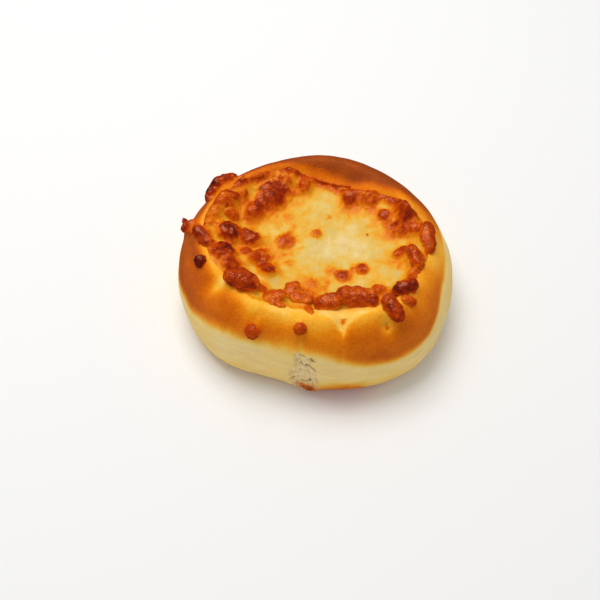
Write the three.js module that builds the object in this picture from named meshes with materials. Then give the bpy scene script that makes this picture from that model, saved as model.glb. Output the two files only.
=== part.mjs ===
// A round bread roll with cheese baked onto its top, made as one closed solid.
// Millimetres, +Z up. The roll stands on the plane z = 0, with the origin under the middle of its box.
import * as THREE from 'three';

// Radius of the roll at its widest level, at equal steps round the plan.
// The list starts on +X and runs anticlockwise, seen from above.
// It holds the flatter front left side and the fuller front right side.
const OUTLINE = [51.2, 49.8, 48.2, 47.4, 47, 46.5, 48.4, 50.6, 52, 51.5, 50.2, 46, 47.6, 50.3, 53.2, 52.1];

// Height of the rim's crest at the same steps.
const RIM_HEIGHTS = [34, 34.4, 35.2, 36.2, 36.5, 36.4, 37.2, 36.8, 35.6, 35.4, 35.8, 36, 36.5, 37, 36.6, 35];

// The section from the edge of the flat base up over the rim and down to the middle of the dish.
// reach is a share of the outline radius. wave is the share of the rim's rise and fall that a level takes.
const MEAN_RIM = 36;
const SECTION = [
  { name: 'base edge', reach: 0.87, height: 0, wave: 0 },
  { name: 'lower rounding', reach: 0.965, height: 3.5, wave: 0 },
  { name: 'widest level', reach: 1, height: 12, wave: 0 },
  { name: 'upper side', reach: 0.975, height: 22, wave: 0.3 },
  { name: 'shoulder', reach: 0.89, height: 30.5, wave: 0.7 },
  { name: 'crest', reach: 0.76, height: MEAN_RIM, wave: 1 },
  { name: 'inner slope', reach: 0.62, height: 32, wave: 0.5 },
  { name: 'edge of the dish floor', reach: 0.45, height: 29.8, wave: 0 },
  { name: 'dish floor', reach: 0.22, height: 29.2, wave: 0 },
  { name: 'middle of the dish', reach: 0, height: 29, wave: 0 },
];

// Mesh steps
const SECTORS = 108;
const STEPS_PER_LEVEL = 4;

// Lumps of browned cheese on the rim and in the dish, as rounded rises on the skin.
// Each has its middle, its length and width, the turn of its length from +X in degrees, and its height.
const LUMPS = [
  { x: -23, y: 13, length: 11, width: 8, turn: 30, rise: 2.6 },
  { x: -16, y: 20, length: 11, width: 9, turn: 50, rise: 3.0 },
  { x: -10, y: 27, length: 10, width: 8, turn: 50, rise: 2.4 },
  { x: -3, y: 26, length: 8, width: 8, turn: 90, rise: 2.0 },
  { x: 12, y: 21, length: 8, width: 7, turn: 0, rise: 1.6 },
  { x: 19, y: 22, length: 12, width: 8, turn: -10, rise: 2.2 },
  { x: 33, y: 12, length: 12, width: 10, turn: -50, rise: 3.2 },
  { x: 33, y: 4, length: 9, width: 7, turn: -20, rise: 1.8 },
  { x: 40, y: 0, length: 13, width: 8, turn: -75, rise: 2.4 },
  { x: 34, y: -9, length: 12, width: 7, turn: -65, rise: 2.4 },
  { x: 30, y: -23, length: 11, width: 8, turn: 15, rise: 2.8 },
  { x: 26, y: -32, length: 9, width: 8, turn: -50, rise: 2.4 },
  { x: 21, y: -23, length: 9, width: 8, turn: 0, rise: 2.0 },
  { x: 13, y: -27, length: 16, width: 9, turn: -5, rise: 3.6 },
  { x: 3, y: -29, length: 10, width: 9, turn: 0, rise: 3.0 },
  { x: -4, y: -26, length: 9, width: 8, turn: 20, rise: 2.4 },
  { x: -9, y: -22, length: 8, width: 7, turn: 0, rise: 2.0 },
  { x: -14, y: -27, length: 9, width: 8, turn: -20, rise: 2.0 },
  { x: -26, y: -21, length: 14, width: 10, turn: -10, rise: 3.6 },
  { x: -17, y: -14, length: 12, width: 9, turn: -40, rise: 2.6 },
  { x: -24, y: -8, length: 10, width: 8, turn: -10, rise: 2.4 },
  { x: -31, y: -9, length: 11, width: 9, turn: -60, rise: 3.0 },
  { x: -31, y: 2, length: 12, width: 10, turn: 0, rise: 3.0 },
  { x: -22, y: 1, length: 11, width: 8, turn: 0, rise: 2.4 },
  { x: -34, y: 13, length: 12, width: 9, turn: 40, rise: 2.6 },
  { x: -36, y: 24, length: 12, width: 9, turn: 60, rise: 4.0 },
  { x: -42, y: 0, length: 10, width: 8, turn: -50, rise: 3.0 },
  { x: -46, y: 7, length: 9, width: 7, turn: 0, rise: 3.2 },
  { x: -42, y: -8, length: 6, width: 6, turn: 0, rise: 1.6 },
  { x: -22, y: -37, length: 8, width: 7, turn: 0, rise: 1.8 },
  { x: -6, y: -38, length: 6, width: 6, turn: 0, rise: 1.6 },
];

// Dimples where the dough folds in at the edge of the cheese.
const DIMPLES = [
  { x: 8, y: -38, length: 12, width: 9, turn: 90, rise: -1.6 },
  { x: 23, y: -38, length: 8, width: 7, turn: 60, rise: -1.2 },
  { x: -10, y: -34, length: 9, width: 7, turn: 90, rise: -1.0 },
  { x: -37, y: -21, length: 12, width: 8, turn: 40, rise: -1.6 },
];

// The broken patch on the front, where the roll was pulled from its neighbour.
const TORN_PATCH = { azimuth: 263.5, height: 14, width: 12, tall: 22, depth: 1.2 };

// The value at a place along a closed list of equally spaced values, on a smooth curve through all of them.
function closedCurve(values, turn) {
  const place = turn * values.length;
  const index = Math.floor(place);
  const t = place - index;
  const at = (offset) => values[(index + offset + values.length) % values.length];
  const slopeHere = (at(1) - at(-1)) / 2;
  const slopeNext = (at(2) - at(0)) / 2;
  const rise = at(1) - at(0);
  return at(0) + slopeHere * t + (3 * rise - 2 * slopeHere - slopeNext) * t ** 2
    + (slopeHere + slopeNext - 2 * rise) * t ** 3;
}

// The section of the roll in the vertical plane at one turn (0 to 1) round the plan.
function sectionCurve(turn) {
  const angle = turn * 2 * Math.PI;
  const radius = closedCurve(OUTLINE, turn);
  const wave = closedCurve(RIM_HEIGHTS, turn) - MEAN_RIM;
  const points = SECTION.map((level) => new THREE.Vector3(
    radius * level.reach * Math.cos(angle),
    radius * level.reach * Math.sin(angle),
    level.height + wave * level.wave,
  ));
  return new THREE.CatmullRomCurve3(points, false, 'centripetal');
}

// A smooth dome on an oval footprint: 1 in the middle, falling to 0 at the edge.
function dome(x, y, spot) {
  const turn = THREE.MathUtils.degToRad(spot.turn);
  const along = (x - spot.x) * Math.cos(turn) + (y - spot.y) * Math.sin(turn);
  const across = (y - spot.y) * Math.cos(turn) - (x - spot.x) * Math.sin(turn);
  const distance = Math.hypot(along / (spot.length / 2), across / (spot.width / 2));
  return distance < 1 ? (1 - distance ** 2) ** 2 : 0;
}

// How far the skin stands out at a point of the upper side: the tallest lump there, and the dimples.
function topRelief(x, y) {
  const lumps = LUMPS.map((lump) => lump.rise * dome(x, y, lump));
  const dimples = DIMPLES.map((dimple) => dimple.rise * dome(x, y, dimple));
  return Math.max(...lumps) + Math.min(...dimples);
}

// How far the skin sinks in at a point of the side.
function sideRelief(x, y, z) {
  const angle = THREE.MathUtils.degToRad(TORN_PATCH.azimuth);
  const across = y * Math.cos(angle) - x * Math.sin(angle);
  const facing = x * Math.cos(angle) + y * Math.sin(angle) > 0;
  const distance = Math.hypot(across / (TORN_PATCH.width / 2), (z - TORN_PATCH.height) / (TORN_PATCH.tall / 2));
  return facing && distance < 1 ? -TORN_PATCH.depth * (1 - distance ** 2) : 0;
}

// The smooth closed skin: rings from the base edge to the dish, closed by a point in the middle of each.
function smoothSkin() {
  const ringCount = (SECTION.length - 1) * STEPS_PER_LEVEL;
  const sections = Array.from({ length: SECTORS }, (_, sector) => sectionCurve(sector / SECTORS));
  const positions = [];
  for (let ring = 0; ring < ringCount; ring += 1) {
    for (const section of sections) {
      positions.push(...section.getPoint(ring / ringCount).toArray());
    }
  }
  const topMiddle = positions.length / 3;
  const baseMiddle = topMiddle + 1;
  positions.push(0, 0, SECTION[SECTION.length - 1].height);
  positions.push(0, 0, 0);

  const faces = [];
  const lastRing = (ringCount - 1) * SECTORS;
  for (let sector = 0; sector < SECTORS; sector += 1) {
    const next = (sector + 1) % SECTORS;
    faces.push(baseMiddle, next, sector);
    faces.push(topMiddle, lastRing + sector, lastRing + next);
    for (let start = 0; start < lastRing; start += SECTORS) {
      faces.push(start + sector, start + next, start + SECTORS + next);
      faces.push(start + sector, start + SECTORS + next, start + SECTORS + sector);
    }
  }
  const geometry = new THREE.BufferGeometry();
  geometry.setAttribute('position', new THREE.Float32BufferAttribute(positions, 3));
  geometry.setIndex(faces);
  geometry.computeVertexNormals();
  return geometry;
}

// Moves each point of the skin out or in along its normal. The flat base stays as it is.
function addRelief(geometry) {
  const widest = SECTION.find((level) => level.name === 'widest level');
  const points = geometry.getAttribute('position');
  const normals = geometry.getAttribute('normal');
  const point = new THREE.Vector3();
  const normal = new THREE.Vector3();
  for (let index = 0; index < points.count; index += 1) {
    point.fromBufferAttribute(points, index);
    normal.fromBufferAttribute(normals, index);
    if (point.z > 0) {
      const top = point.z > widest.height ? topRelief(point.x, point.y) : 0;
      point.addScaledVector(normal, top + sideRelief(point.x, point.y, point.z));
      points.setXYZ(index, point.x, point.y, point.z);
    }
  }
}

// Puts the middle of the roll's box over the origin.
function centreOverOrigin(geometry) {
  geometry.computeBoundingBox();
  const middle = geometry.boundingBox.getCenter(new THREE.Vector3());
  geometry.translate(-middle.x, -middle.y, 0);
  geometry.computeVertexNormals();
}

function makeRoll() {
  const geometry = smoothSkin();
  addRelief(geometry);
  centreOverOrigin(geometry);
  const bakedCrust = new THREE.MeshStandardMaterial({ color: 0xc87a2c, roughness: 0.45, metalness: 0 });
  const mesh = new THREE.Mesh(geometry, bakedCrust);
  mesh.name = 'bread_roll';
  return mesh;
}

const group = new THREE.Group();
group.add(makeRoll());
export default group;
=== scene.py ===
# A round bread roll with melted, partly browned cheese baked onto its top.
# The dough is the frame's own solid, rounded and finished. The melted cheese is a skin that lies in its
# dish. The browned lumps, the drips and the crisp edge are domes and grains fused together, and sit on both.
import math
import random

import bpy
import numpy as np
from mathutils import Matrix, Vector, noise
from mathutils.bvhtree import BVHTree


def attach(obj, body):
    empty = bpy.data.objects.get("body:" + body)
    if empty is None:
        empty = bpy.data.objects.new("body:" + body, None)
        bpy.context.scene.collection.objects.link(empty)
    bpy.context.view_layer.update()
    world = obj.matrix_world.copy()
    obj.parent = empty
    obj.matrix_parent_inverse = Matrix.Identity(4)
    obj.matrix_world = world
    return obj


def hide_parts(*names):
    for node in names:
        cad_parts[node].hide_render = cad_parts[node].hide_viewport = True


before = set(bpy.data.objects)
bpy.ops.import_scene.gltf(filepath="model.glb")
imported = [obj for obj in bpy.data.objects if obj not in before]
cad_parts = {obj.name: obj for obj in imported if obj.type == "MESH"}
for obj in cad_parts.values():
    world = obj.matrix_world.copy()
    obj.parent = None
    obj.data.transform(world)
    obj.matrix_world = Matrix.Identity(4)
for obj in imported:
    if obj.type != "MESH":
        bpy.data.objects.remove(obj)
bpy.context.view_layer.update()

# Lengths below are in millimetres and are turned into metres when a mesh is written. Those of the materials,
# the stage and the rays are in metres.
MM = 0.001

# ---- the roll's own plan, at 16 equal steps round it, starting on +X and running anticlockwise ----

# How far out the melted cheese reaches.
CHEESE_EDGE = [41, 37.5, 31.5, 27.5, 29.5, 34, 36.5, 40.5, 40.5, 37, 35.5, 32.5, 31, 33.5, 39, 39.5]
# Where the pale side ends and the browned crust starts, as a height.
PALE_TOP = [26.5, 25, 23, 22, 22, 22, 22, 21, 19, 19.5, 24, 24.8, 25.6, 20.5, 20.5, 26.5]
# How wide the change from pale to brown is there.
PALE_FADE = [3, 3, 4, 4, 4, 4, 4, 4, 5, 6, 8, 9, 8, 6, 4, 3]
# How browned the crust and the cheese are where they meet.
GOLD = [0.32, 0.44, 0.52, 0.60, 0.60, 0.60, 0.60, 0.44, 0.30, 0.32, 0.32, 0.27, 0.22, 0.25, 0.35, 0.38]
# How brown the crust is on the rim, partly baking and partly painted light: kept low round +X as painted
# light on that side, and full at the back as painted shade.
RIM_BROWN_AND_LIGHT = [0.30, 0.82, 1.0, 1.0, 1.0, 0.98, 0.92, 0.84, 0.80, 0.80, 0.68, 0.60, 0.53, 0.66, 0.66, 0.54]
# How thick the edge of the melted cheese is.
CHEESE_LIP = [0.1, 0.1, 0.1, 0.2, 0.4, 0.2, 0.1, 0.0, 0.0, 0.0, 0.0, 0.0, 0.1, 0.1, 0.1, 0.1]
# How far the crust takes to go from the gold beside the cheese to the brown of the rim.
RIM_FADE = [7, 6, 5, 5, 4.5, 4, 3, 3, 4, 5, 7.5, 10.5, 12, 11.5, 9, 8]

# ---- places on the top ----

# Browned cheese: x, y, length, width, turn of the length from +X in degrees, height, darkness
# Low mounds that melt into the cheese round them.
SOFT_LUMPS = [
    (-15.4, 21.6, 14.5, 11.5, 50, 1.6, 0.88),
    (-20.0, 17.5, 8.5, 7.0, 40, 1.5, 0.80),
    (-22.8, 13.3, 8.5, 6.5, 60, 1.3, 0.62),
    (-31.0, 3.2, 9.5, 9.0, -10, 2.1, 0.96),
    (-24.4, 2.4, 9.5, 7.5, -15, 1.6, 0.84),
    (-24.8, -4.2, 6.5, 5.0, -10, 1.2, 0.64),
    (-20.0, -6.4, 8.5, 8.0, -30, 1.7, 0.76),
    (-17.3, -11.6, 8.5, 6.0, -50, 1.5, 0.80),
    (-32.6, -6.0, 9.0, 8.5, -55, 2.2, 0.98),
    (-30.2, -11.4, 8.5, 6.5, -60, 1.8, 0.76),
    (-26.1, 19.9, 4.0, 2.6, 80, 1.1, 0.64),
    (-11.0, 26.0, 5.5, 5.5, 80, 1.2, 0.50),
    (-24.0, 11.0, 4.5, 3.5, 30, 0.6, 0.36),
    (-8.4, 31.5, 6.5, 5.5, 0, 1.1, 0.62),
    (-3.8, 25.6, 6.0, 6.5, 0, 1.4, 0.66),
    (-1.0, 28.0, 4.0, 2.5, 20, 0.8, 0.46),
    (12.7, 20.6, 6.0, 8.5, 0, 1.5, 0.66),
    (17.0, 21.6, 6.5, 8.5, 0, 1.7, 0.60),
    (20.9, 19.6, 6.0, 6.5, -30, 1.5, 0.62),
    (18.0, 18.5, 11.0, 5.0, -10, 0.5, 0.24),
    (27.0, 20.5, 3.0, 2.0, -20, 0.6, 0.34),
    (30.2, 18.5, 3.5, 2.5, -40, 1.0, 0.54),
    (32.0, 15.5, 5.0, 5.0, -50, 1.4, 0.80),
    (33.2, 10.5, 9.5, 8.0, -65, 2.3, 0.92),
    (25.5, 12.6, 5.5, 5.0, -20, 1.4, 0.70),
    (29.3, 9.5, 6.5, 5.5, -20, 1.2, 0.60),
    (30.8, 4.8, 8.0, 5.0, 10, 1.2, 0.62),
    (36.3, 3.8, 7.5, 5.5, -20, 1.6, 0.72),
    (28.0, 6.5, 9.0, 7.0, 0, 0.4, 0.30),
    (30.8, -5.0, 7.0, 5.0, 25, 1.6, 0.74),
    (33.6, -16.8, 8.5, 4.5, 70, 1.4, 0.50),
    (30.0, -11.5, 4.0, 3.5, 60, 0.6, 0.26),
    (-29.3, -14.5, 4.5, 3.5, 20, 1.1, 0.46),
    (-32.6, 14.6, 11.5, 5.0, 20, 1.3, 0.62),
    (-36.0, 17.0, 4.5, 3.5, 40, 0.9, 0.50),
    (-37.4, 9.6, 6.0, 5.5, 30, 1.4, 0.48),
    (-38.2, 5.8, 4.5, 4.0, 0, 1.1, 0.48),
    (-27.0, 24.8, 6.0, 2.5, 10, 0.9, 0.62),
    (-1.5, -21.0, 8.0, 3.5, 20, 0.5, 0.20),
    (21.5, -22.5, 6.5, 5.5, 0, 1.8, 0.62),
    (27.0, -26.5, 4.5, 3.0, 40, 1.2, 0.56),
]

# Clumps with steep sides that stand up from the cheese or sit on the crust.
PROUD_LUMPS = [
    (-30.7, 10.8, 5.4, 4.8, -30, 1.6, 0.74),
    (-31.2, 16.8, 7.5, 4.0, 15, 0.9, 0.96),
    (-14.6, -26.2, 5.5, 6.6, 0, 1.6, 0.54),
    (-8.5, -22.0, 6.0, 5.5, 50, 1.5, 0.56),
    (-5.0, -25.5, 7.0, 5.5, -15, 1.4, 0.60),
    (40.3, -1.0, 13.5, 6.0, -86, 2.2, 0.72),
    (35.2, -10.0, 10.5, 5.5, -72, 2.0, 0.76),
    (30.5, -24.0, 8.5, 5.5, 15, 2.2, 0.94),
    (31.5, -28.3, 5.0, 4.2, 0, 1.5, 0.76),
    (25.8, -32.5, 9.5, 6.3, -58, 2.2, 0.86),
    (3.8, -28.2, 6.8, 7.2, 0, 2.3, 0.68),
    (13.8, -26.6, 12.6, 7.8, -4, 2.8, 0.71),
    (18.6, -29.0, 4.0, 4.2, -60, 1.7, 0.86),
    (-12.6, -30.0, 3.0, 3.0, 0, 1.1, 0.62),
    (-2.5, -32.0, 5.5, 3.2, -70, 1.3, 0.66),
    (-25.8, -20.3, 10.4, 8.4, -5, 2.9, 0.88),
    (-19.5, -21.0, 6.0, 4.0, -10, 1.4, 0.58),
    (-38.2, 21.6, 9.5, 5.5, 52, 2.6, 1.00),
    (-33.8, 25.8, 10.0, 5.5, 30, 2.6, 0.86),
    (-28.2, 26.0, 4.5, 2.0, 30, 0.9, 0.64),
    (-21.5, 27.0, 5.5, 2.0, 20, 0.9, 0.66),
    (-46.2, 7.0, 5.5, 4.5, 20, 2.0, 0.80),
    (-47.4, 9.3, 2.8, 2.0, 70, 3.3, 1.00),
    (-44.0, 4.6, 5.5, 4.5, 0, 1.3, 0.58),
    (-40.0, -1.5, 9.5, 5.5, -52, 2.2, 0.96),
]

# Crisp edge of the cheese skin at the back: x, y along a curve, running towards +X
CRISP_EDGE = [(-1.0, 29.5), (2.0, 28.8), (5.5, 27.8), (9.0, 26.7), (13.5, 26.0)]

# Blisters and soft golden spots in the melted cheese: x, y, radius, height, brownness
BLISTERS = [
    (-11.5, 1.6, 4.2, 1.0, 0.54),
    (0.5, 5.0, 2.4, 0.5, 0.44),
    (16.5, -11.0, 3.0, 1.1, 0.62),
    (9.5, -14.0, 3.0, 1.0, 0.60),
    (5.5, -11.5, 3.5, 0.3, 0.34),
    (-1.5, -17.5, 4.0, 0.3, 0.42),
    (-10.2, 12.8, 4.0, 0.3, 0.34),
    (-10.0, -8.2, 3.0, 0.3, 0.36),
    (-3.0, 6.6, 4.4, 0.1, 0.22),
    (5.1, 12.8, 1.5, 0.3, 0.31),
    (9.7, 16.8, 1.8, 0.3, 0.32),
    (17.5, 14.2, 2.0, 0.3, 0.28),
    (19.0, 4.2, 0.6, -0.2, 0.60),
    (-6.5, 4.2, 0.6, -0.2, 0.36),
]

# Round drips of browned cheese on the crust: x, y, radius, height, darkness
DRIPS = [
    (-40.8, -10.3, 2.0, 2.4, 0.96),
    (-21.8, -37.0, 2.6, 2.7, 0.72),
    (-5.5, -38.5, 2.0, 2.0, 0.68),
]

# Dimples where the dough folds in at the cheese: x, y, radius, depth
DIMPLES = [
    (24.1, -36.8, 1.2, 0.9),
    (-34.5, -21.0, 1.6, 0.7),
]

# Creases that run down the front of the crust: azimuth in degrees, depth
CREASES = [(239.0, 0.5), (263.0, 0.7), (228.0, 0.25)]

# The fold under the longest lump: a pale V that points down the front.
FOLD_X = 9.0
FOLD_TOP = -34.0
FOLD_REACH = 7.0
FOLD_HALF_WIDTH = 8.0

# Pinholes in the dough: x, y, radius, depth
PINHOLES = [
    (9.0, -36.0, 0.65, 1.1),
    (24.0, -36.6, 0.55, 0.8),
]

# The broken patch on the front, where the roll was pulled from its neighbour.
TORN_AZIMUTH = 264.5
TORN_HALF_WIDTH = 5.2
TORN_LOW = 3.0
TORN_HIGH = 25.5
# Heights of the gaps under the ledges of crumb inside it.
LEDGES = [24.0, 19.0, 9.5]

# Middle of the darker foot on the front of the side, as an azimuth in degrees.
DARK_FOOT_AZIMUTH = -80.0

# The fold, the pinholes and the dips of the dimples are placed in plan, and lie above this height.
TOP_SIDE = 20

# ---- how finely the pieces are made ----

# Where rays that look down for the skin start, in metres, and the height taken where they meet nothing.
# That is only beyond the edge of the roll, where the cheese is trimmed away.
RAY_START = 0.1
MISSED_HEIGHT = 20.0
# Grid of the melted cheese, and the thickness of its skin.
GRID_SPACING = 0.36
GRID_HALF_WIDTH = 45.0
SKIN_THICKNESS = 1.2
# Voxel sizes that fuse the parts of a piece: the lumps, the crisp edge and the drips.
LUMP_VOXEL = 0.26
CRISP_VOXEL = 0.2
DRIP_VOXEL = 0.22
# Share of a lump's height that is sunk in the skin.
SUNK = 0.22
# Blisters on a lump for each square millimetre of its length times its width.
BLISTER_DENSITY = 0.07
# Turn from one blister to the next, in radians, which spreads them evenly.
GOLDEN_ANGLE = 2.399963
# The proud lumps are two pieces, parted at this x.
LUMPS_PARTED_AT = -15


# ---- small mathematics ----

def smooth_step(low, high, value):
    share = np.clip((value - low) / (high - low), 0.0, 1.0)
    return share * share * (3.0 - 2.0 * share)


def bell(distance, width):
    return np.exp(-(distance / width) ** 2)


def around(values, azimuth):
    """The value at an azimuth in radians, on a smooth closed curve through equally spaced values."""
    values = np.asarray(values, float)
    count = len(values)
    place = np.mod(azimuth / (2 * math.pi), 1.0) * count
    index = np.floor(place).astype(int) % count
    t = place - np.floor(place)
    before, here = values[index - 1], values[index]
    after, beyond = values[(index + 1) % count], values[(index + 2) % count]
    return here + 0.5 * t * (after - before + t * (2 * before - 5 * here + 4 * after - beyond
                                                   + t * (3 * (here - after) + beyond - before)))


def rough(points, size, seed=0, octaves=1):
    """Smooth noise, about -1 to 1, at points in millimetres. size is the width of one swell."""
    shift = Vector((13.7, 5.3, 9.1)) * (seed + 1)
    scaled = np.asarray(points, float) / np.asarray(size, float)
    return np.array([noise.fractal(Vector(p) + shift, 1.0, 2.0, octaves) for p in scaled])


def bubbles(points, size, seed=0):
    """Round bubbles side by side: 1 on top of a bubble, about 0 where they meet."""
    shift = Vector((7.1, 3.7, 11.3)) * (seed + 1)
    scaled = np.asarray(points, float) / size
    away = np.array([noise.voronoi(Vector(p) + shift)[0][0] for p in scaled])
    return np.sqrt(np.clip(1.0 - (away / 0.75) ** 2, 0.0, 1.0))


def oval_distance(x, y, middle_x, middle_y, length, width, turn):
    """Distance from an oval's middle: 0 there and 1 on its edge."""
    angle = math.radians(turn)
    along = (x - middle_x) * math.cos(angle) + (y - middle_y) * math.sin(angle)
    across = (y - middle_y) * math.cos(angle) - (x - middle_x) * math.sin(angle)
    return np.hypot(along / (length / 2), across / (width / 2))


# ---- working on meshes ----

def select_only(obj):
    bpy.ops.object.select_all(action="DESELECT")
    obj.select_set(True)
    bpy.context.view_layer.objects.active = obj


def apply_modifier(obj, kind, **settings):
    select_only(obj)
    modifier = obj.modifiers.new(kind.title(), kind)
    for name, value in settings.items():
        setattr(modifier, name, value)
    bpy.ops.object.modifier_apply(modifier=modifier.name)


def points_of(obj):
    flat = np.empty(len(obj.data.vertices) * 3, np.float32)
    obj.data.vertices.foreach_get("co", flat)
    return flat.reshape(-1, 3).astype(float) / MM


def normals_of(obj):
    flat = np.empty(len(obj.data.vertices) * 3, np.float32)
    obj.data.vertex_normals.foreach_get("vector", flat)
    return flat.reshape(-1, 3).astype(float)


def place_points(obj, points):
    obj.data.vertices.foreach_set("co", (points * MM).astype(np.float32).ravel())
    obj.data.update()


def store(obj, name, values):
    """Keeps one number a point on the mesh, for the material to read."""
    attribute = obj.data.attributes.new(name, "FLOAT", "POINT")
    attribute.data.foreach_set("value", np.asarray(values, np.float32))


def new_object(name, mesh):
    obj = bpy.data.objects.new(name, mesh)
    bpy.context.scene.collection.objects.link(obj)
    return obj


def finish_piece(obj, material):
    obj.data.materials.clear()
    obj.data.materials.append(material)
    select_only(obj)
    bpy.ops.object.shade_smooth()
    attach(obj, "root")
    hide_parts("bread_roll")


def tree_of(obj):
    return BVHTree.FromPolygons([v.co.copy() for v in obj.data.vertices],
                                [p.vertices[:] for p in obj.data.polygons])


def look_down(tree, x, y):
    """Where a ray from above meets a surface, and the normal there."""
    place, normal, _, _ = tree.ray_cast(Vector((x * MM, y * MM, RAY_START)), Vector((0, 0, -1)))
    return place, normal


def skin_at(trees, x, y):
    """The highest point of the given surfaces over a place in plan, and the normal there."""
    best = None
    for tree in trees:
        place, normal = look_down(tree, x, y)
        if place is not None and (best is None or place.z > best[0].z):
            best = (place, normal)
    return best


# ---- shading pieces ----

class Graph:
    """Adds nodes to a tree and joins them, one call a node."""

    def __init__(self, tree):
        self.tree = tree

    def node(self, kind, inputs=(), **settings):
        node = self.tree.nodes.new("ShaderNode" + kind)
        for name, value in settings.items():
            setattr(node, name, value)
        for socket, value in dict(inputs).items():
            if isinstance(value, bpy.types.NodeSocket):
                self.tree.links.new(value, node.inputs[socket])
            else:
                node.inputs[socket].default_value = value
        return node

    def math(self, operation, first, second=0.0, clamp=False):
        return self.node("Math", {0: first, 1: second}, operation=operation, use_clamp=clamp).outputs[0]

    def blend(self, share, first, second, how="MIX"):
        mix = self.node("Mix", {0: share, 6: first, 7: second}, data_type="RGBA", blend_type=how)
        return mix.outputs[2]

    def ramp(self, share, stops):
        node = self.node("ValToRGB", {0: share})
        elements = node.color_ramp.elements
        while len(elements) < len(stops):
            elements.new(0.5)
        for element, (place, colour) in zip(elements, stops):
            element.position = place
            element.color = (*colour, 1.0)
        return node.outputs["Color"]

    def between(self, value, low, high, out_low, out_high):
        node = self.node("MapRange", {0: value, 1: low, 2: high, 3: out_low, 4: out_high})
        return node.outputs[0]

    def kept(self, name):
        return self.node("Attribute", attribute_name=name).outputs["Fac"]

    def speckle(self, position, scale, detail=2.0, roughness=0.5):
        return self.node("TexNoise", {"Vector": position, "Scale": scale, "Detail": detail,
                                      "Roughness": roughness}).outputs["Fac"]


def mottling_group():
    """Uneven baking: a slow drift and a finer speckle added together, from -1 to 1."""
    group = bpy.data.node_groups.new("uneven_baking", "ShaderNodeTree")
    group.interface.new_socket("Patch Scale", in_out="INPUT", socket_type="NodeSocketFloat")
    group.interface.new_socket("Speck Scale", in_out="INPUT", socket_type="NodeSocketFloat")
    group.interface.new_socket("Speck Share", in_out="INPUT", socket_type="NodeSocketFloat")
    group.interface.new_socket("Unevenness", in_out="OUTPUT", socket_type="NodeSocketFloat")
    graph = Graph(group)
    ins = group.nodes.new("NodeGroupInput")
    outs = group.nodes.new("NodeGroupOutput")
    place = graph.node("TexCoord").outputs["Object"]
    patches = graph.speckle(place, ins.outputs["Patch Scale"], 3.0)
    specks = graph.speckle(place, ins.outputs["Speck Scale"], 4.0, 0.65)
    patches = graph.between(patches, 0.3, 0.7, -1.0, 1.0)
    specks = graph.between(specks, 0.3, 0.7, -1.0, 1.0)
    specks = graph.math("MULTIPLY", specks, ins.outputs["Speck Share"])
    group.links.new(graph.math("ADD", patches, specks), outs.inputs["Unevenness"])
    return group


def grain_group():
    """Fine relief of a baked skin: tiny swells with small pores, as a height."""
    group = bpy.data.node_groups.new("baked_grain", "ShaderNodeTree")
    group.interface.new_socket("Grain Scale", in_out="INPUT", socket_type="NodeSocketFloat")
    group.interface.new_socket("Pore Scale", in_out="INPUT", socket_type="NodeSocketFloat")
    group.interface.new_socket("Pore Depth", in_out="INPUT", socket_type="NodeSocketFloat")
    group.interface.new_socket("Height", in_out="OUTPUT", socket_type="NodeSocketFloat")
    graph = Graph(group)
    ins = group.nodes.new("NodeGroupInput")
    outs = group.nodes.new("NodeGroupOutput")
    place = graph.node("TexCoord").outputs["Object"]
    swells = graph.speckle(place, ins.outputs["Grain Scale"], 5.0, 0.6)
    cells = graph.node("TexVoronoi", {"Vector": place, "Scale": ins.outputs["Pore Scale"]})
    pores = graph.between(cells.outputs["Distance"], 0.0, 0.35, 1.0, 0.0)
    pores = graph.math("MULTIPLY", pores, ins.outputs["Pore Depth"])
    group.links.new(graph.math("SUBTRACT", swells, pores), outs.inputs["Height"])
    return group


UNEVEN = mottling_group()
GRAIN = grain_group()


def new_material(name):
    material = bpy.data.materials.new(name)
    material.use_nodes = True
    shader = material.node_tree.nodes["Principled BSDF"]
    return material, Graph(material.node_tree), shader


def unevenness(graph, patch_scale, speck_scale, speck_share):
    inputs = {"Patch Scale": patch_scale, "Speck Scale": speck_scale, "Speck Share": speck_share}
    return graph.node("Group", inputs, node_tree=UNEVEN).outputs["Unevenness"]


def grain_height(graph, grain_scale, pore_scale, pore_depth):
    inputs = {"Grain Scale": grain_scale, "Pore Scale": pore_scale, "Pore Depth": pore_depth}
    return graph.node("Group", inputs, node_tree=GRAIN).outputs["Height"]


def join_shader(graph, shader, colour, roughness, height, bump_strength):
    bump = graph.node("Bump", {"Strength": bump_strength, "Distance": BUMP_DISTANCE, "Height": height})
    links = graph.tree.links
    links.new(colour, shader.inputs["Base Color"])
    links.new(roughness, shader.inputs["Roughness"])
    links.new(bump.outputs["Normal"], shader.inputs["Normal"])


# From raw pale dough through gold and orange to dark crust.
CRUST_COLOURS = [
    (0.00, (0.98, 0.76, 0.34)),
    (0.14, (0.98, 0.66, 0.17)),
    (0.27, (0.96, 0.46, 0.035)),
    (0.42, (0.88, 0.27, 0.004)),
    (0.60, (0.74, 0.165, 0.001)),
    (0.78, (0.58, 0.105, 0.001)),
    (1.00, (0.33, 0.054, 0.006)),
]

# From pale melted cheese through yellow and orange to the dark tops of the lumps.
CHEESE_COLOURS = [
    (0.00, (0.80, 0.63, 0.29)),
    (0.12, (0.77, 0.53, 0.13)),
    (0.27, (0.80, 0.42, 0.025)),
    (0.40, (0.82, 0.27, 0.002)),
    (0.52, (0.74, 0.150, 0.001)),
    (0.64, (0.57, 0.070, 0.001)),
    (0.78, (0.39, 0.033, 0.002)),
    (0.90, (0.23, 0.015, 0.004)),
    (1.00, (0.09, 0.008, 0.004)),
]

# Reflections on the baked surfaces take a warm tint.
WARM_GLINT = (1.0, 0.66, 0.36, 1.0)

# Darker streaks that run up the pale side.
SIDE_STREAK = (0.66, 0.42, 0.14, 1.0)
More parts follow.
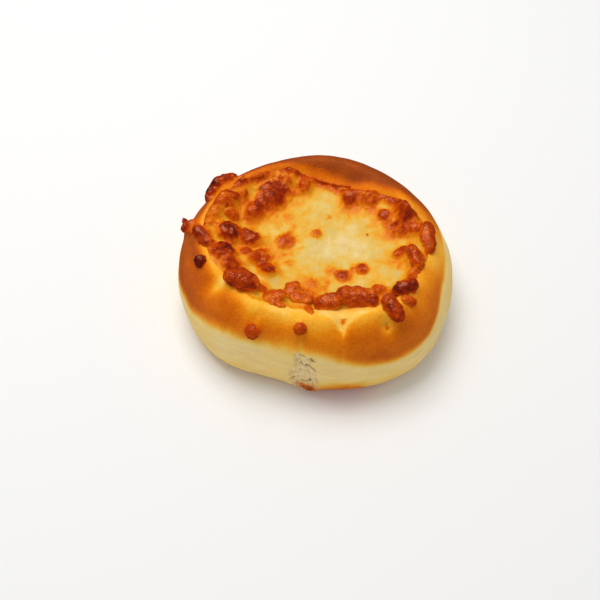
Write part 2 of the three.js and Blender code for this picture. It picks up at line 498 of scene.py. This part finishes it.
# Painted shade in the gaps under the ledges of the broken patch, with flecks of crust there.
LEDGE_SHADE_AND_CRUST = (0.15, 0.075, 0.018, 1.0)
CLEAR_CHEESE = (0.62, 0.46, 0.15, 1.0)

# The torn crumb, from its pores, darkened as painted shade, to its pale walls.
CRUMB_AND_PORE_SHADE = [
    (0.32, (0.46, 0.24, 0.06)),
    (0.42, (0.90, 0.66, 0.29)),
    (0.60, (1.0, 0.84, 0.50)),
]

# Depth of the fine relief that the materials add.
BUMP_DISTANCE = 0.0004


def set_finish(shader, gloss, scatter, scatter_radius, scatter_scale):
    """How the surface shines and how far light spreads under it."""
    shader.inputs["Specular IOR Level"].default_value = gloss
    shader.inputs["Specular Tint"].default_value = WARM_GLINT
    shader.inputs["Subsurface Weight"].default_value = scatter
    shader.inputs["Subsurface Radius"].default_value = scatter_radius
    shader.inputs["Subsurface Scale"].default_value = scatter_scale


def crust_material():
    material, graph, shader = new_material("baked_crust")
    drift = unevenness(graph, 150.0, 1100.0, 1.0)
    brown = graph.kept("browning")
    baked = graph.between(brown, 0.1, 0.5, 0.028, 0.070)
    brown = graph.math("ADD", brown, graph.math("MULTIPLY", drift, baked), clamp=True)
    colour = graph.ramp(brown, CRUST_COLOURS)
    place = graph.node("TexCoord").outputs["Object"]
    stretched = graph.node("Mapping", {"Vector": place, "Scale": (110.0, 110.0, 480.0)}).outputs["Vector"]
    streaks = graph.speckle(stretched, 1.0, 4.0, 0.6)
    streaks = graph.between(streaks, 0.35, 0.75, 0.0, 1.0)
    streaks = graph.math("MULTIPLY", streaks, graph.kept("pale_side"))
    colour = graph.blend(graph.math("MULTIPLY", streaks, 0.32), colour, SIDE_STREAK)
    # The dark end of these colours is painted shade in the pores of the crumb.
    crumb = graph.ramp(graph.speckle(place, 1300.0, 4.0, 0.7), CRUMB_AND_PORE_SHADE)
    colour = graph.blend(graph.kept("torn"), colour, crumb)
    # Painted shade darkens the gaps under the ledges of the broken patch.
    colour = graph.blend(graph.math("MULTIPLY", graph.kept("shaded_gap"), 0.85), colour, LEDGE_SHADE_AND_CRUST)
    roughness = graph.between(brown, 0.1, 0.6, 0.75, 0.50)
    roughness = graph.math("ADD", roughness, graph.math("MULTIPLY", drift, 0.04))
    height = grain_height(graph, 900.0, 700.0, 0.35)
    join_shader(graph, shader, colour, roughness, height, 0.50)
    set_finish(shader, 0.16, 0.08, (1.0, 0.35, 0.08), 0.002)
    return material


def cheese_material(name, sheen_low, sheen_high, gloss, grain_scale, bump_strength):
    material, graph, shader = new_material(name)
    drift = unevenness(graph, 220.0, 1100.0, 0.7)
    brown = graph.kept("browning")
    brown = graph.math("ADD", brown, graph.math("MULTIPLY", drift, 0.055), clamp=True)
    colour = graph.ramp(brown, CHEESE_COLOURS)
    place = graph.node("TexCoord").outputs["Object"]
    clear = graph.between(graph.speckle(place, 120.0, 4.0), 0.45, 0.68, 0.0, 0.55)
    clear = graph.math("MULTIPLY", clear, graph.between(brown, 0.12, 0.32, 1.0, 0.0))
    colour = graph.blend(clear, colour, CLEAR_CHEESE)
    roughness = graph.between(brown, 0.3, 0.75, sheen_high, sheen_low)
    roughness = graph.math("ADD", roughness, graph.math("MULTIPLY", drift, 0.05))
    height = grain_height(graph, grain_scale, 0.7 * grain_scale, 0.35)
    join_shader(graph, shader, colour, roughness, height, bump_strength)
    set_finish(shader, gloss, 0.20, (1.0, 0.30, 0.06), 0.0015)
    return material


# ---- the dough ----

def torn_share(points):
    """1 inside the broken patch, 0 outside, with a ragged edge."""
    angle = math.radians(TORN_AZIMUTH)
    across = points[:, 1] * math.cos(angle) - points[:, 0] * math.sin(angle)
    facing = points[:, 0] * math.cos(angle) + points[:, 1] * math.sin(angle) > 0
    height = points[:, 2]
    ragged = 1.6 * rough(points, 2.2, 11, 3)
    half_width = TORN_HALF_WIDTH - 1.6 * smooth_step(12.0, TORN_HIGH, height)
    inside_width = smooth_step(0.0, 1.2, half_width + ragged - np.abs(across))
    inside_height = smooth_step(0.0, 1.0, height - TORN_LOW + ragged)
    inside_height *= smooth_step(0.0, 1.5, TORN_HIGH - height + ragged)
    return inside_width * inside_height * facing


def fold_share(x, y):
    """1 inside the pale V of the fold, 0 outside."""
    down = (FOLD_TOP - y) / FOLD_REACH
    half_width = FOLD_HALF_WIDTH * np.clip(1.0 - down, 0.0, 1.0) ** 1.5
    wander = 0.6 * rough(np.stack([x, y, np.zeros_like(x)], axis=1), 2.5, 15, 2)
    return smooth_step(-1.2, 1.6, half_width - np.abs(x - FOLD_X) + wander) * smooth_step(-0.5, 0.0, down)


def ledge_crevice(points):
    """1 in the narrow gaps under the ledges of the broken patch, which are sunk and take painted shade, with
    flecks of crust left there.
    """
    waver = 1.5 * rough(points, 3.2, 18, 2)
    broken = smooth_step(-0.25, 0.25, rough(points, 2.0, 19, 2))
    gaps = sum(bell(points[:, 2] - height - waver, 0.5) for height in LEDGES)
    return np.clip(gaps, 0.0, 1.0) * broken


def scorched_share(points):
    """1 on the dark caramelised foot of the broken patch, 0 elsewhere."""
    x, y, z = points.T
    angle = math.radians(TORN_AZIMUTH)
    across = y * math.cos(angle) - x * math.sin(angle)
    away = oval_distance(across, z, 1.4, 5.4, 8.0, 5.0, -8) + 0.40 * rough(points, 1.8, 14, 3)
    return smooth_step(1.1, 0.8, away) * (y < 0)


def crease_depth(points):
    """How deep the creases of the front are at each point, in millimetres."""
    x, y, z = points.T
    azimuth = np.degrees(np.arctan2(y, x)) % 360
    radius = np.hypot(x, y)
    reach = smooth_step(20.0, 26.0, z) * smooth_step(36.0, 40.0, radius)
    return reach * sum(depth * bell(np.radians(azimuth - turn) * radius, 1.0) for turn, depth in CREASES)


def dough_browning_and_painted_light(points):
    """How baked each point of the dough is, from 0, pale, to 1, dark, with painted shade in the pinholes and
    painted light and shade on the rim, and how much it is pale side.
    """
    x, y, z = points.T
    azimuth = np.arctan2(y, x)
    radius = np.hypot(x, y)
    drift = rough(points, 9.0, 3, 2)
    pale_top = around(PALE_TOP, azimuth) + 0.8 * drift
    fade = around(PALE_FADE, azimuth)
    crust = smooth_step(-0.35 * fade, 0.65 * fade, z - pale_top)
    from_cheese = radius - around(CHEESE_EDGE, azimuth)
    outer_share = smooth_step(0.2, 1.0, (from_cheese + 0.6 * drift) / around(RIM_FADE, azimuth))
    gold = around(GOLD, azimuth)
    rim = gold + (around(RIM_BROWN_AND_LIGHT, azimuth) - gold) * outer_share
    browning = 0.04 + (rim + 0.05 * drift - 0.04) * crust
    for dimple_x, dimple_y, dimple_radius, _ in DIMPLES:
        near = bell(np.hypot(x - dimple_x, y - dimple_y), 2.4 * dimple_radius)
        browning -= 0.55 * near * browning
    browning += (0.16 - browning) * 0.8 * fold_share(x, y) * (z > TOP_SIDE)
    # Painted shade: the insides of the pinholes are darkened as shade falls in them.
    for hole_x, hole_y, hole_radius, _ in PINHOLES:
        hole = bell(np.hypot(x - hole_x, y - hole_y), hole_radius) * (z > TOP_SIDE)
        browning += (1.0 - browning) * hole
    browning *= 1.0 - 0.2 * np.minimum(crease_depth(points), 1.0)
    from_foot = np.degrees(azimuth) - DARK_FOOT_AZIMUTH
    browning += 0.20 * bell(from_foot, 12.0) * (1.0 - smooth_step(8.0, 14.0, z))
    pale = 1.0 - crust
    browning += pale * 0.05 * bell(z - 8.0, 5.0) * (1.0 + drift) + 0.05 * pale * rough(points, 14.0, 17, 3)
    foot_height = 2.4 + 11.0 * bell(from_foot, 13.0)
    foot = 1.0 - smooth_step(0.0, 1.0, (z + 0.9 * rough(points, 5.0, 5, 2)) / foot_height)
    browning += pale * foot * 0.52
    scorched = scorched_share(points) * (0.86 + 0.2 * rough(points, 1.6, 16, 2))
    browning = np.maximum(browning, scorched)
    underside = 1.0 - smooth_step(0.05, 0.5, z)
    browning = np.where(z < 0.5, browning * (1 - underside) + underside * (0.56 + 0.12 * drift), browning)
    return np.clip(browning, 0.0, 1.0), pale * (z > 0.3)


def sculpt_dough(obj):
    """Gives the dough its slow swells, papery side wrinkles, folds, dimples and broken patch."""
    points = points_of(obj)
    normals = normals_of(obj)
    x, y, z = points.T
    azimuth = np.arctan2(y, x)
    side = smooth_step(1.5, 4.0, z) * (1.0 - smooth_step(18.0, 25.0, z))
    rise = 0.28 * rough(points, 12.0, 1) + 0.10 * rough(points, 4.5, 2)
    wrapped = np.stack([azimuth * 5.0, np.zeros_like(z), z / 1.3], axis=1)
    rise += side * 0.13 * rough(wrapped, 1.0, 4, 3)
    rise -= crease_depth(points)
    for dimple_x, dimple_y, dimple_radius, depth in DIMPLES:
        near = bell(np.hypot(x - dimple_x, y - dimple_y), dimple_radius) * (z > TOP_SIDE)
        rise -= depth * near
    folded = fold_share(x, y) * (z > TOP_SIDE)
    rise -= 1.1 * folded * bell(x - FOLD_X, 2.2)
    for hole_x, hole_y, hole_radius, depth in PINHOLES:
        rise -= depth * bell(np.hypot(x - hole_x, y - hole_y), hole_radius) * (z > TOP_SIDE)
    torn = torn_share(points)
    ledges = rough(points, (5.0, 5.0, 1.8), 12, 2)
    crumb = 1.2 * ledges + 0.6 * rough(points, 0.9, 13, 2)
    torn_rim = 4.0 * torn * (1.0 - torn)
    scorched = scorched_share(points)
    torn *= 1.0 - scorched
    shaded_gap = ledge_crevice(points)
    rise += torn * (-0.8 + 0.8 * crumb - 1.7 * shaded_gap) + 0.45 * torn_rim + 0.5 * scorched
    above_base = smooth_step(0.0, 1.0, z)
    points += normals * (rise * above_base)[:, None]
    points[:, 2] = np.maximum(points[:, 2], 0.0)
    place_points(obj, points)
    store(obj, "torn", torn)
    # Kept for the material, which paints shade into these gaps.
    store(obj, "shaded_gap", torn * shaded_gap)
    browning, pale_side = dough_browning_and_painted_light(points)
    store(obj, "browning", browning)
    store(obj, "pale_side", pale_side)


def cut_finer_where_torn(dough):
    """Smaller faces on and round the broken patch, for its ledges and pores."""
    select_only(dough)
    bpy.ops.object.mode_set(mode="EDIT")
    bpy.ops.mesh.select_mode(type="FACE")
    bpy.ops.mesh.select_all(action="DESELECT")
    bpy.ops.object.mode_set(mode="OBJECT")
    angle = math.radians(TORN_AZIMUTH)
    outward = Vector((math.cos(angle), math.sin(angle), 0))
    sideways = Vector((-math.sin(angle), math.cos(angle), 0))
    for face in dough.data.polygons:
        middle = face.center / MM
        near = abs(middle.dot(sideways)) < TORN_HALF_WIDTH + 2.5 and middle.dot(outward) > 0
        face.select = near and TORN_LOW - 2.5 < middle.z < TORN_HIGH + 2.0
    bpy.ops.object.mode_set(mode="EDIT")
    bpy.ops.mesh.subdivide(number_cuts=2)
    bpy.ops.object.mode_set(mode="OBJECT")


def make_dough():
    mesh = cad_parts["bread_roll"].data.copy()
    dough = new_object("baked_dough", mesh)
    select_only(dough)
    bpy.ops.mesh.customdata_custom_splitnormals_clear()
    bpy.ops.object.mode_set(mode="EDIT")
    bpy.ops.mesh.select_all(action="SELECT")
    bpy.ops.mesh.remove_doubles(threshold=0.01 * MM)
    bpy.ops.mesh.tris_convert_to_quads(face_threshold=math.pi, shape_threshold=math.pi)
    bpy.ops.mesh.normals_make_consistent(inside=False)
    bpy.ops.object.mode_set(mode="OBJECT")
    apply_modifier(dough, "SUBSURF", levels=2, render_levels=2)
    cut_finer_where_torn(dough)
    sculpt_dough(dough)
    return dough


# ---- the melted cheese ----

def blurred(values, times):
    """Evens out a grid of heights, with the edges held."""
    for _ in range(times):
        padded = np.pad(values, 1, mode="edge")
        across = (padded[:-2, 1:-1] + padded[2:, 1:-1] + padded[1:-1, :-2] + padded[1:-1, 2:]) / 4
        values = 0.5 * values + 0.5 * across
    return values


def lump_reach(flat, lump):
    """Distance from a lump's middle, 1 on its wavering edge, and the distance beyond the edge in mm."""
    middle_x, middle_y, length, width, turn = lump[:5]
    share = oval_distance(flat[:, 0], flat[:, 1], middle_x, middle_y, length, width, turn)
    return share, np.maximum(share - 1.0, 0.0) * (length + width) / 4


def edge_waver(flat):
    """A factor near 1 for the distance from a lump or a spot, which makes its edge waver."""
    return 1.0 + 0.26 * rough(flat, 3.0, 28, 3)


def darkest(darkness):
    """The browning in the middle of a lump of a given darkness."""
    return 0.25 + 0.60 * darkness


def cheese_browning(points):
    """How browned the melted cheese is at each place in plan, from 0, pale, to 1, burnt."""
    flat = points * (1.0, 1.0, 0.0)
    x, y = flat[:, 0], flat[:, 1]
    radius = np.hypot(x, y)
    waver = edge_waver(flat)
    azimuth = np.arctan2(y, x)
    inside = around(CHEESE_EDGE, azimuth) - radius
    pale = 0.07 + 0.09 * rough(flat, 8.0, 24, 2) + 0.08 * rough(flat, 2.5, 26, 2)
    pale += 0.10 * smooth_step(7.0, 20.0, np.hypot(x - 8.0, y + 1.0))
    pale = np.maximum(pale, 0.0) + (around(GOLD, azimuth) - 0.10) * (1 - smooth_step(0.5, 5.0, inside))
    unbrowned = 1 - np.clip(pale, 0, 1)
    core = np.zeros_like(x)
    for lump in SOFT_LUMPS + PROUD_LUMPS:
        share, away = lump_reach(flat, lump)
        poolward = smooth_step(1.0, -2.0, radius - math.hypot(lump[0], lump[1]))
        reach = 0.7 + 2.2 * poolward
        unbrowned *= 1 - 0.25 * math.sqrt(lump[6]) * np.exp(-(waver * away / reach) ** 1.5)
        core = np.maximum(core, darkest(lump[6]) * smooth_step(1.18, 0.66, share * waver))
    browning = np.maximum(1 - unbrowned, core)
    mottle = bubbles(flat, 1.1, 29) - 0.45
    patchy = 0.16 * rough(flat, 2.6, 36, 2) + 0.14 * mottle
    browning += patchy * smooth_step(0.30, 0.6, browning)
    for spot_x, spot_y, spot_radius, _, brown in BLISTERS:
        away = (1.0 + 1.5 * (waver - 1.0)) * np.hypot(x - spot_x, y - spot_y) / spot_radius
        spot = brown * (1 - smooth_step(0.1, 1.6, away)) * (1.0 + 0.3 * mottle)
        browning = np.maximum(browning, spot)
        browning += 0.20 * brown * bell(np.maximum(away - 0.8, 0) * spot_radius, 3.0)
    return np.clip(browning, 0.0, 1.0)


def skin_height(tree, x, y):
    """Height of a surface over a place in plan."""
    place, _ = look_down(tree, x, y)
    return place.z / MM if place is not None else MISSED_HEIGHT


def remove_points(obj, unwanted):
    select_only(obj)
    bpy.ops.object.mode_set(mode="EDIT")
    bpy.ops.mesh.select_mode(type="VERT")
    bpy.ops.mesh.select_all(action="DESELECT")
    bpy.ops.object.mode_set(mode="OBJECT")
    obj.data.vertices.foreach_set("select", unwanted)
    bpy.ops.object.mode_set(mode="EDIT")
    bpy.ops.mesh.delete(type="VERT")
    bpy.ops.object.mode_set(mode="OBJECT")


def make_melted_cheese(dough_tree):
    """The cheese skin: a grid laid on the dough, raised where it browned, trimmed and given a thickness."""
    steps = int(2 * GRID_HALF_WIDTH / GRID_SPACING)
    bpy.ops.object.select_all(action="DESELECT")
    bpy.ops.mesh.primitive_grid_add(x_subdivisions=steps, y_subdivisions=steps, size=2 * GRID_HALF_WIDTH * MM)
    cheese = bpy.context.object
    cheese.name = "melted_cheese"
    points = points_of(cheese)
    x, y = points[:, 0], points[:, 1]
    azimuth = np.arctan2(y, x)
    radius = np.hypot(x, y)
    flat = points * (1.0, 1.0, 0.0)
    ragged = 1.3 * rough(points, 4.5, 21, 3)
    inside = around(CHEESE_EDGE, azimuth) + ragged - radius
    under = np.array([skin_height(dough_tree, a, b) for a, b in zip(x, y)])
    side = int(round(math.sqrt(len(points))))
    soft = blurred(under.reshape(side, side), 22).ravel()
    depth = smooth_step(0.0, 8.0, inside)
    lip = around(CHEESE_LIP, azimuth) * smooth_step(0.0, 1.6, inside) + 0.25 * smooth_step(0.0, 6.0, inside)
    z = under + (soft - under) * 0.8 * depth + np.where(inside > 0, lip, np.maximum(0.9 * inside, -0.8))
    swell = 0.22 * rough(points, 7.0, 22, 2) + 0.09 * rough(points, 2.0, 23, 2)
    z += swell * smooth_step(0.0, 3.0, inside)
    waver = edge_waver(flat)
    mound = np.zeros_like(x)
    for lump in SOFT_LUMPS:
        share, _ = lump_reach(flat, lump)
        rounding = smooth_step(1.2, 0.15 + 0.22 * lump[5], share * waver)
        mound = np.maximum(mound, 0.95 * lump[5] * rounding)
    for lump in PROUD_LUMPS:
        _, away = lump_reach(flat, lump)
        mound = np.maximum(mound, 0.28 * lump[5] * bell(away, 1.3))
    z += mound * smooth_step(-0.5, 2.5, inside)
    for spot_x, spot_y, spot_radius, height, _ in BLISTERS:
        away = np.hypot(x - spot_x, y - spot_y) / spot_radius
        away = away * (1.0 + 0.18 * rough(points, 2.6, 25))
        z += height * np.clip(1 - away ** 2, 0, None) ** 1.5
    browning = cheese_browning(points)
    blistered = smooth_step(0.3, 0.6, browning) * smooth_step(0.0, 1.5, inside)
    nodules = 0.36 * bubbles(flat, 2.6, 37) + 0.18 * bubbles(flat, 1.1, 29)
    nodules += 0.24 * rough(flat, 1.8, 30, 3)
    z += blistered * nodules
    points[:, 2] = z
    place_points(cheese, points)
    store(cheese, "browning", browning)
    remove_points(cheese, inside < -0.9)
    apply_modifier(cheese, "SOLIDIFY", thickness=SKIN_THICKNESS * MM, offset=-1.0)
    return cheese


# ---- browned lumps ----

def ball_mesh(subdivisions):
    """Corners and faces of a ball of radius 1, modelled once."""
    bpy.ops.object.select_all(action="DESELECT")
    bpy.ops.mesh.primitive_ico_sphere_add(subdivisions=subdivisions, radius=1.0)
    ball = bpy.context.object
    corners = np.array([v.co[:] for v in ball.data.vertices])
    faces = np.array([p.vertices[:] for p in ball.data.polygons])
    bpy.data.objects.remove(ball)
    return corners, faces


DOME = ball_mesh(4)
GRAIN_BALL = ball_mesh(2)


def lump_frame(trees, x, y, turn):
    """Where a lump stands on the skin, and its own axes: along, across and outwards."""
    place, normal = skin_at(trees, x, y)
    normal = (normal + Vector((0, 0, 0.6))).normalized()
    angle = math.radians(turn)
    along = Vector((math.cos(angle), math.sin(angle), 0))
    along = (along - normal * along.dot(normal)).normalized()
    return np.array(place / MM), np.array([along, normal.cross(along), normal])


def parts_of_lump(lump, trees, draw):
    """A main dome, smaller domes along it, lobes round its foot and blisters on top: corners and faces."""
    middle_x, middle_y, length, width, turn, height, _ = lump
    foot, axes = lump_frame(trees, middle_x, middle_y, turn)
    half_length, half_width = length / 2, width / 2
    corners, faces = DOME
    parts = []

    def add_dome(u, v, long_half, wide_half, tall):
        local = corners * (long_half, wide_half, tall)
        uneven = 1.0 + 0.14 * rough(local + (middle_x + 3 * u, middle_y + 3 * v, 0), 2.8, 61, 2)
        local = local * uneven[:, None] + (u, v, -SUNK * height)
        parts.append((foot + local @ axes, faces))

    add_dome(0.0, 0.0, 0.95 * half_length, 0.92 * half_width, 1.08 * height)
    count = max(3, round(2.8 * length / width))
    for number in range(count):
        u = 0.66 * half_length * (2 * (number + 0.5) / count - 1)
        v = half_width * draw.uniform(-0.10, 0.10)
        size = half_width * draw.uniform(0.78, 0.90)
        add_dome(u, v, 1.2 * size, size, height * draw.uniform(0.95, 1.08))
    lobes = int(0.7 * (half_length + half_width))
    for number in range(lobes):
        spin = 2 * math.pi * (number + draw.uniform(0.0, 0.9)) / lobes
        size = half_width * draw.uniform(0.28, 0.46)
        add_dome(0.80 * half_length * math.cos(spin), 0.80 * half_width * math.sin(spin), size, size,
                 height * draw.uniform(0.35, 0.6))
    corners, faces = GRAIN_BALL
    for number in range(int(BLISTER_DENSITY * length * width)):
        spin = number * GOLDEN_ANGLE + draw.uniform(-0.4, 0.4)
        out = 0.85 * math.sqrt(draw.uniform(0.0, 1.0))
        radius = draw.uniform(0.35, 0.85)
        lift = height * (1.05 * math.sqrt(1 - out * out) - SUNK) - 0.70 * radius
        offset = np.array([out * math.cos(spin) * half_length, out * math.sin(spin) * half_width, lift])
        parts.append((foot + offset @ axes + corners * radius, faces))
    return parts


def fuse(name, parts, voxel, smoothing):
    """One closed mesh out of parts that overlap."""
    starts = np.cumsum([0] + [len(corners) for corners, _ in parts])
    all_points = np.concatenate([corners for corners, _ in parts])
    all_faces = np.concatenate([faces + start for (_, faces), start in zip(parts, starts)])
    mesh = bpy.data.meshes.new(name)
    mesh.from_pydata((all_points * MM).tolist(), [], all_faces.tolist())
    obj = new_object(name, mesh)
    apply_modifier(obj, "REMESH", mode="VOXEL", voxel_size=voxel * MM)
    apply_modifier(obj, "SMOOTH", factor=0.5, iterations=smoothing)
    return obj


def grains(places):
    """A small ball at each place, given with its radius."""
    corners, faces = GRAIN_BALL
    return [(np.array(place) + corners * radius, faces) for place, radius in places]


def height_above(trees, point):
    """Distance from a point to the nearest of the given surfaces, in millimetres."""
    return min(tree.find_nearest(Vector(point * MM))[3] for tree in trees) / MM


def lump_browning(points, trees):
    """The cheese's own browning at the foot of a lump, and the lump's darkness above."""
    nearest = np.full(len(points), 9.0)
    darkness = np.full(len(points), 0.5)
    for lump in PROUD_LUMPS:
        share, _ = lump_reach(points, lump)
        closer = share < nearest
        nearest = np.where(closer, share, nearest)
        darkness = np.where(closer, lump[6], darkness)
    above = np.array([height_above(trees, p) for p in points])
    share = smooth_step(-0.1, 1.7, above + 0.5 * rough(points, 1.8, 35, 2))
    foot = np.clip(cheese_browning(points), 0.40, 0.54)
    top = 0.03 + darkest(darkness) + 0.13 * rough(points, 3.2, 31, 2)
    top += 0.10 * (bubbles(points, 1.1, 33) - 0.5)
    return np.clip(foot + (top - foot) * share, 0.0, 1.0)


def make_browned_lumps(name, lumps, trees, seed):
    """Clumps of browned cheese as one piece, with bubbles and roughness on them."""
    draw = random.Random(seed)
    parts = []
    for lump in lumps:
        parts += parts_of_lump(lump, trees, draw)
    obj = fuse(name, parts, LUMP_VOXEL, 8)
    points = points_of(obj)
    bumps = 0.14 * (bubbles(points, 1.1, 33) - 0.5) + 0.22 * rough(points, 2.0, 34, 3)
    points += normals_of(obj) * bumps[:, None]
    place_points(obj, points)
    store(obj, "browning", lump_browning(points, trees))
    return obj


def make_crisp_edge(trees):
    """The thin dark rim of cheese skin at the back: a row of small grains along a curve."""
    draw = random.Random(7)
    places = []
    steps = 9
    for start, end in zip(CRISP_EDGE, CRISP_EDGE[1:]):
        for step in range(steps):
            share = step / steps
            x = start[0] + (end[0] - start[0]) * share + draw.uniform(-0.15, 0.15)
            y = start[1] + (end[1] - start[1]) * share + draw.uniform(-0.2, 0.2)
            place, normal = skin_at(trees, x, y)
            places.append((place / MM + normal * draw.uniform(0.0, 0.3), draw.uniform(0.4, 0.7)))
    obj = fuse("crisp_cheese_edge", grains(places), CRISP_VOXEL, 2)
    points = points_of(obj)
    store(obj, "browning", np.clip(0.60 + 0.2 * rough(points, 1.5, 41, 2), 0.0, 1.0))
    return obj


def make_drips(trees):
    """Beads of cheese that ran onto the crust and browned there, each on a thin skirt."""
    corners, faces = DOME
    parts = []
    for x, y, radius, height, _ in DRIPS:
        foot, axes = lump_frame(trees, x, y, 0)
        uneven = 1.0 + 0.24 * rough(corners * radius + (x, y, 0), 2.8, 53, 2)
        bead = corners * uneven[:, None] * (0.95 * radius, 0.95 * radius, 0.62 * height)
        skirt = corners * uneven[:, None] * (1.15 * radius, 1.15 * radius, 0.40 * radius)
        parts.append((foot + (bead + (0, 0, 0.38 * height)) @ axes, faces))
        parts.append((foot + skirt @ axes, faces))
    obj = fuse("cheese_drips", parts, DRIP_VOXEL, 2)
    points = points_of(obj)
    points += normals_of(obj) * (0.16 * (bubbles(points, 1.2, 51) - 0.5))[:, None]
    place_points(obj, points)
    brown = np.zeros(len(points))
    for x, y, radius, _, darkness in DRIPS:
        near = np.hypot(points[:, 0] - x, points[:, 1] - y) < 2 * radius
        above = np.array([height_above(trees, p) for p in points[near]])
        brown[near] = darkness * (0.80 + 0.20 * smooth_step(0.0, 1.2, above))
    store(obj, "browning", np.clip(brown + 0.14 * rough(points, 1.8, 52, 2), 0.0, 1.0))
    return obj


# ---- the stage ----

def make_floor():
    bpy.ops.object.select_all(action="DESELECT")
    bpy.ops.mesh.primitive_plane_add(size=4.0)
    floor = bpy.context.object
    floor.name = "floor"
    material, _, shader = new_material("pale_floor")
    shader.inputs["Base Color"].default_value = (0.90, 0.895, 0.885, 1.0)
    shader.inputs["Roughness"].default_value = 0.9
    floor.data.materials.append(material)
    floor.visible_glossy = False


def make_light():
    world = bpy.data.worlds.new("soft_room")
    world.use_nodes = True
    background = world.node_tree.nodes["Background"]
    background.inputs["Color"].default_value = (1.0, 1.0, 1.0, 1.0)
    background.inputs["Strength"].default_value = 0.50
    world.cycles_visibility.glossy = False
    bpy.context.scene.world = world
    light = bpy.data.lights.new("window", "AREA")
    light.shape = "RECTANGLE"
    light.size = 0.55
    light.size_y = 0.45
    light.energy = 4.7
    obj = new_object("window", light)
    obj.location = (-0.14, 0.22, 0.80)
    obj.rotation_euler = (Vector((0, 0, 0)) - obj.location).to_track_quat("-Z", "Y").to_euler()


def make_camera():
    """Looks down along +Y. The roll sits a little right of and behind the point it aims at."""
    elevation = math.radians(56.5)
    distance = 0.350
    aim = Vector((-5.64, -4.51, 0.0)) * MM
    camera = bpy.data.cameras.new("camera")
    camera.lens = 54.0
    camera.sensor_width = 36.0
    camera.clip_start = 0.01
    obj = new_object("camera", camera)
    obj.location = aim + Vector((0, -math.cos(elevation), math.sin(elevation))) * distance
    obj.rotation_euler = (math.pi / 2 - elevation, 0, 0)
    bpy.context.scene.camera = obj


# ---- the roll ----

make_camera()
make_light()
make_floor()
bpy.context.scene.view_settings.view_transform = "Standard"

crust = crust_material()
melted = cheese_material("melted_cheese", sheen_low=0.24, sheen_high=0.46, gloss=0.42,
                         grain_scale=900.0, bump_strength=0.40)
browned = cheese_material("browned_cheese", sheen_low=0.22, sheen_high=0.40, gloss=0.50,
                          grain_scale=1300.0, bump_strength=0.40)

dough = make_dough()
dough_tree = tree_of(dough)
cheese = make_melted_cheese(dough_tree)
surfaces = [dough_tree, tree_of(cheese)]

left = [lump for lump in PROUD_LUMPS if lump[0] < LUMPS_PARTED_AT]
right = [lump for lump in PROUD_LUMPS if lump[0] >= LUMPS_PARTED_AT]
lumps_left = make_browned_lumps("browned_cheese_left", left, surfaces, 1)
lumps_right = make_browned_lumps("browned_cheese_right", right, surfaces, 2)
crisp_edge = make_crisp_edge(surfaces)
drips = make_drips(surfaces)

finish_piece(dough, crust)
finish_piece(cheese, melted)
for piece in (lumps_left, lumps_right, crisp_edge, drips):
    finish_piece(piece, browned)
